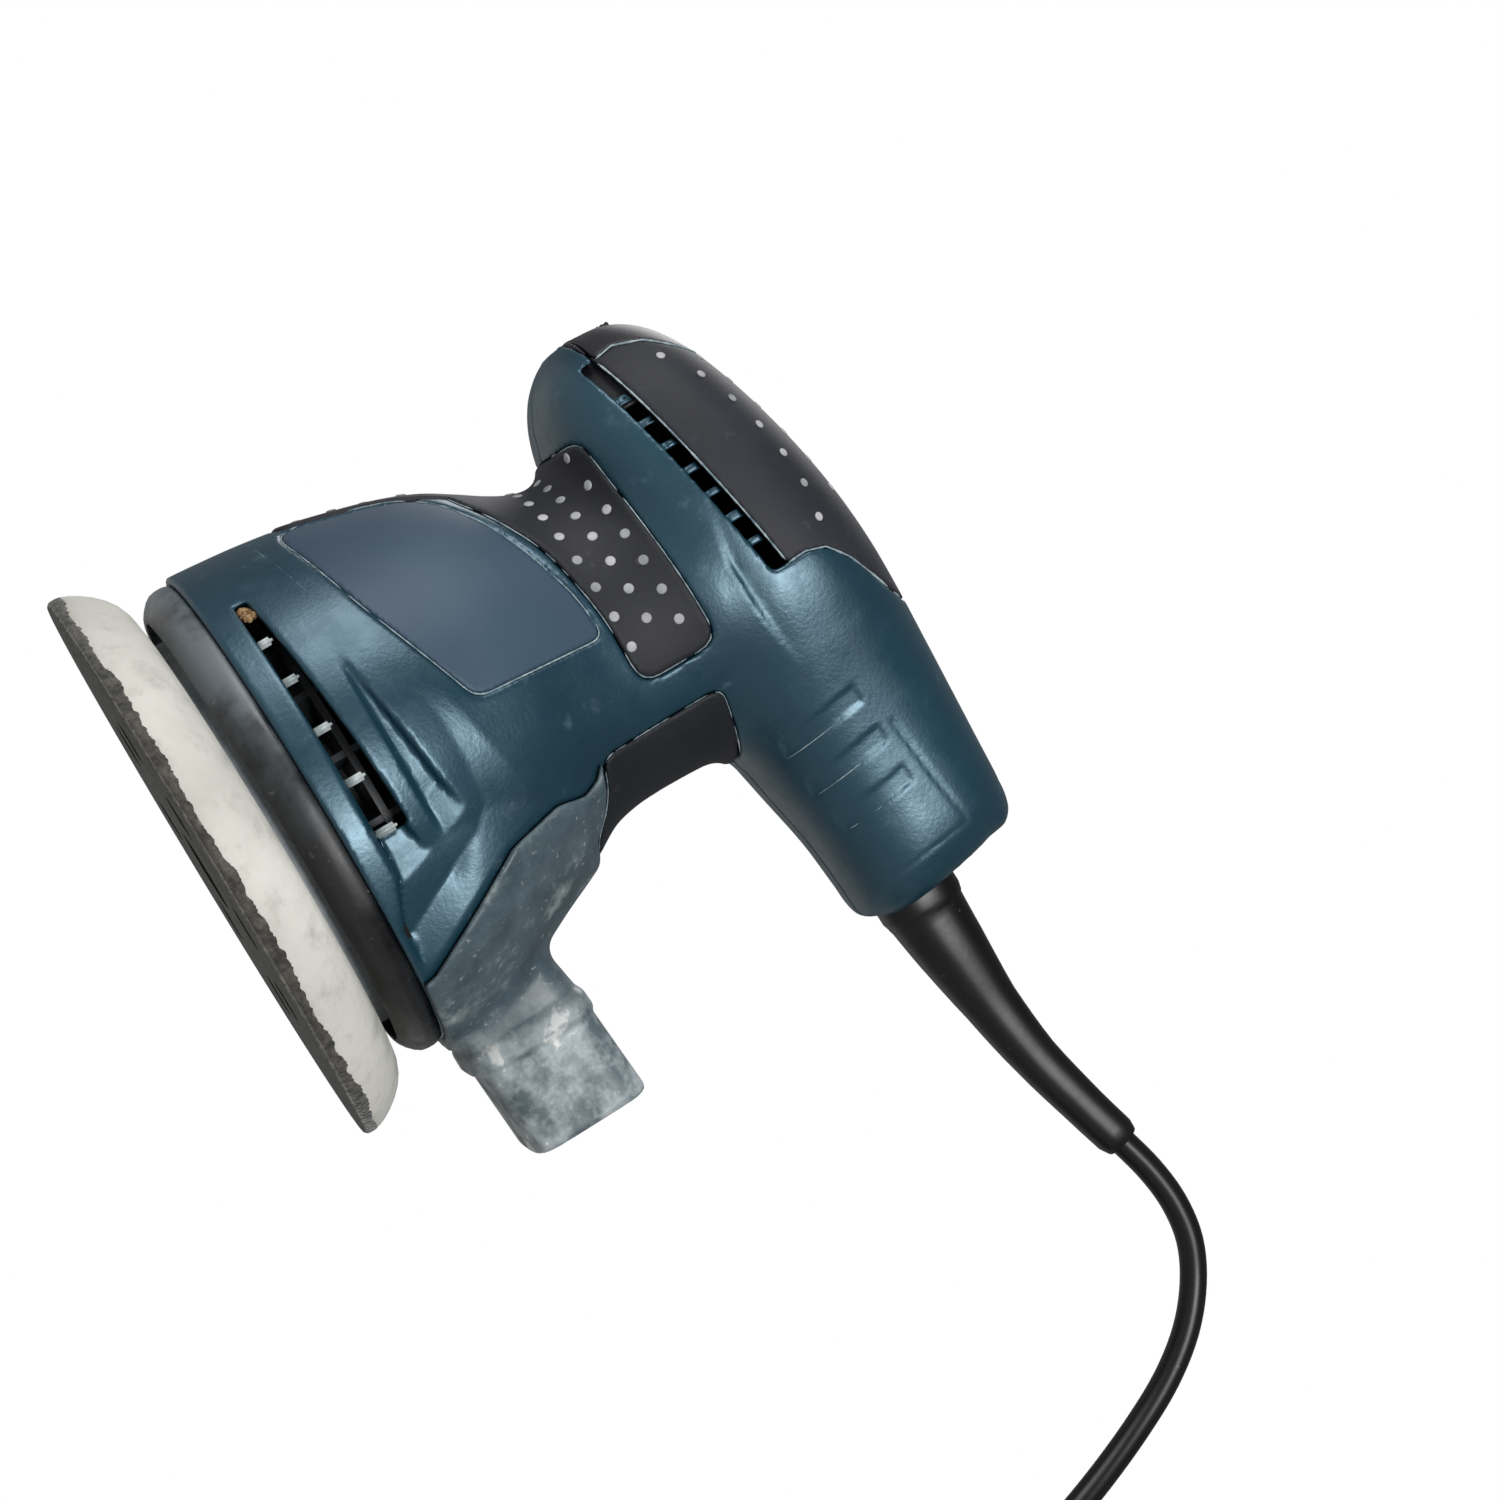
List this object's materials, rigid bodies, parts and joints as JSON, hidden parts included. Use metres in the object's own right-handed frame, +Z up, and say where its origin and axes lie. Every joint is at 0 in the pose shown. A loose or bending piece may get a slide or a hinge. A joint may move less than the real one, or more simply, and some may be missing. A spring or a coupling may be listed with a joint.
{
  "type": "random orbit sander",
  "caption": "Mains random orbit sander with a round foam pad, waisted two-part housing, bent handle, dust outlet, slide switch, speed dial and coiled lead.",
  "frame": {"origin": "on the motor's axis, at the pad's working face", "axes": "+Z up along the motor's axis away from the pad, +X towards the handle's end with the lead, +Y to the tool's right side"},
  "size_m": [0.3884, 0.1527, 0.1532],
  "materials": {
    "housing_plastic": "fine texture",
    "soft_grip": "matte, fine dots",
    "black_plastic": "satin",
    "label_plate": "smooth, bare",
    "outlet_plastic": "satin, dusty",
    "brake_rubber": "matte",
    "hook_fabric": "hook pile",
    "pad_foam": "closed cell foam",
    "cast_alloy": "cast",
    "bright_steel": "ground",
    "screw_steel": "plated",
    "lamination_steel": "stacked sheet",
    "winding_copper": "enamelled wire",
    "commutator_copper": "turned",
    "holder_brass": "pressed",
    "carbon": "dull",
    "fan_plastic": "satin",
    "circuit_board": "satin",
    "terminal_plastic": "satin",
    "lead_rubber": "matte"
  },
  "bodies": {
    "housing": {"left_shell": "housing_plastic", "right_shell": "housing_plastic", "top_cap": "black_plastic", "switch_bezel": "black_plastic", "switch_body": "black_plastic", "front_grip": "soft_grip", "rear_grip": "soft_grip", "label_plate": "label_plate", "dust_outlet": "outlet_plastic", "brake_ring": "brake_rubber", "field_core": "lamination_steel", "field_coils": "winding_copper", "lower_bearing": "bright_steel", "upper_bearing": "bright_steel", "upper_bearing_seat": "brake_rubber", "bearing_bridge": "cast_alloy", "bridge_screws": "screw_steel", "brush_holders": "holder_brass", "carbon_brushes": "carbon", "brush_springs": "bright_steel", "control_board": "circuit_board", "terminal_block": "terminal_plastic", "cord_clamp": "black_plastic", "clamp_screws": "screw_steel", "shell_screws": "screw_steel", "strain_relief": "lead_rubber", "power_cord": "lead_rubber", "cord_coil": "lead_rubber", "plug_body": "lead_rubber", "plug_pins": "bright_steel"},
    "rotor": {"armature_shaft": "bright_steel", "armature_core": "lamination_steel", "armature_winding": "winding_copper", "commutator": "commutator_copper", "fan": "fan_plastic", "counterweight": "cast_alloy", "pad_bearing": "bright_steel"},
    "pad": {"pad_hook_face": "hook_fabric", "pad_foam": "pad_foam", "pad_plate": "cast_alloy", "pad_hub": "bright_steel", "pad_screw": "screw_steel"},
    "switch": {"switch_button": "black_plastic"},
    "dial": {"speed_dial": "black_plastic"}
  },
  "joints": [
    {"name": "spindle_spin", "type": "hinge", "parent": "housing", "child": "rotor", "pos_m": [0, 0, 0.045], "axis": [0, 0, 1], "continuous": true},
    {"name": "pad_spin", "type": "hinge", "parent": "rotor", "child": "pad", "pos_m": [0, -0.00125, 0.02], "axis": [0, 0, 1], "continuous": true},
    {"name": "switch_slide", "type": "slide", "parent": "housing", "child": "switch", "axis": [0, 1, 0], "range_m": [0, 0.005]},
    {"name": "dial_turn", "type": "hinge", "parent": "housing", "child": "dial", "pos_m": [0.05, 0.0175, 0.1377], "axis": [0, 0, 1], "range_deg": [0, 270]}
  ]
}
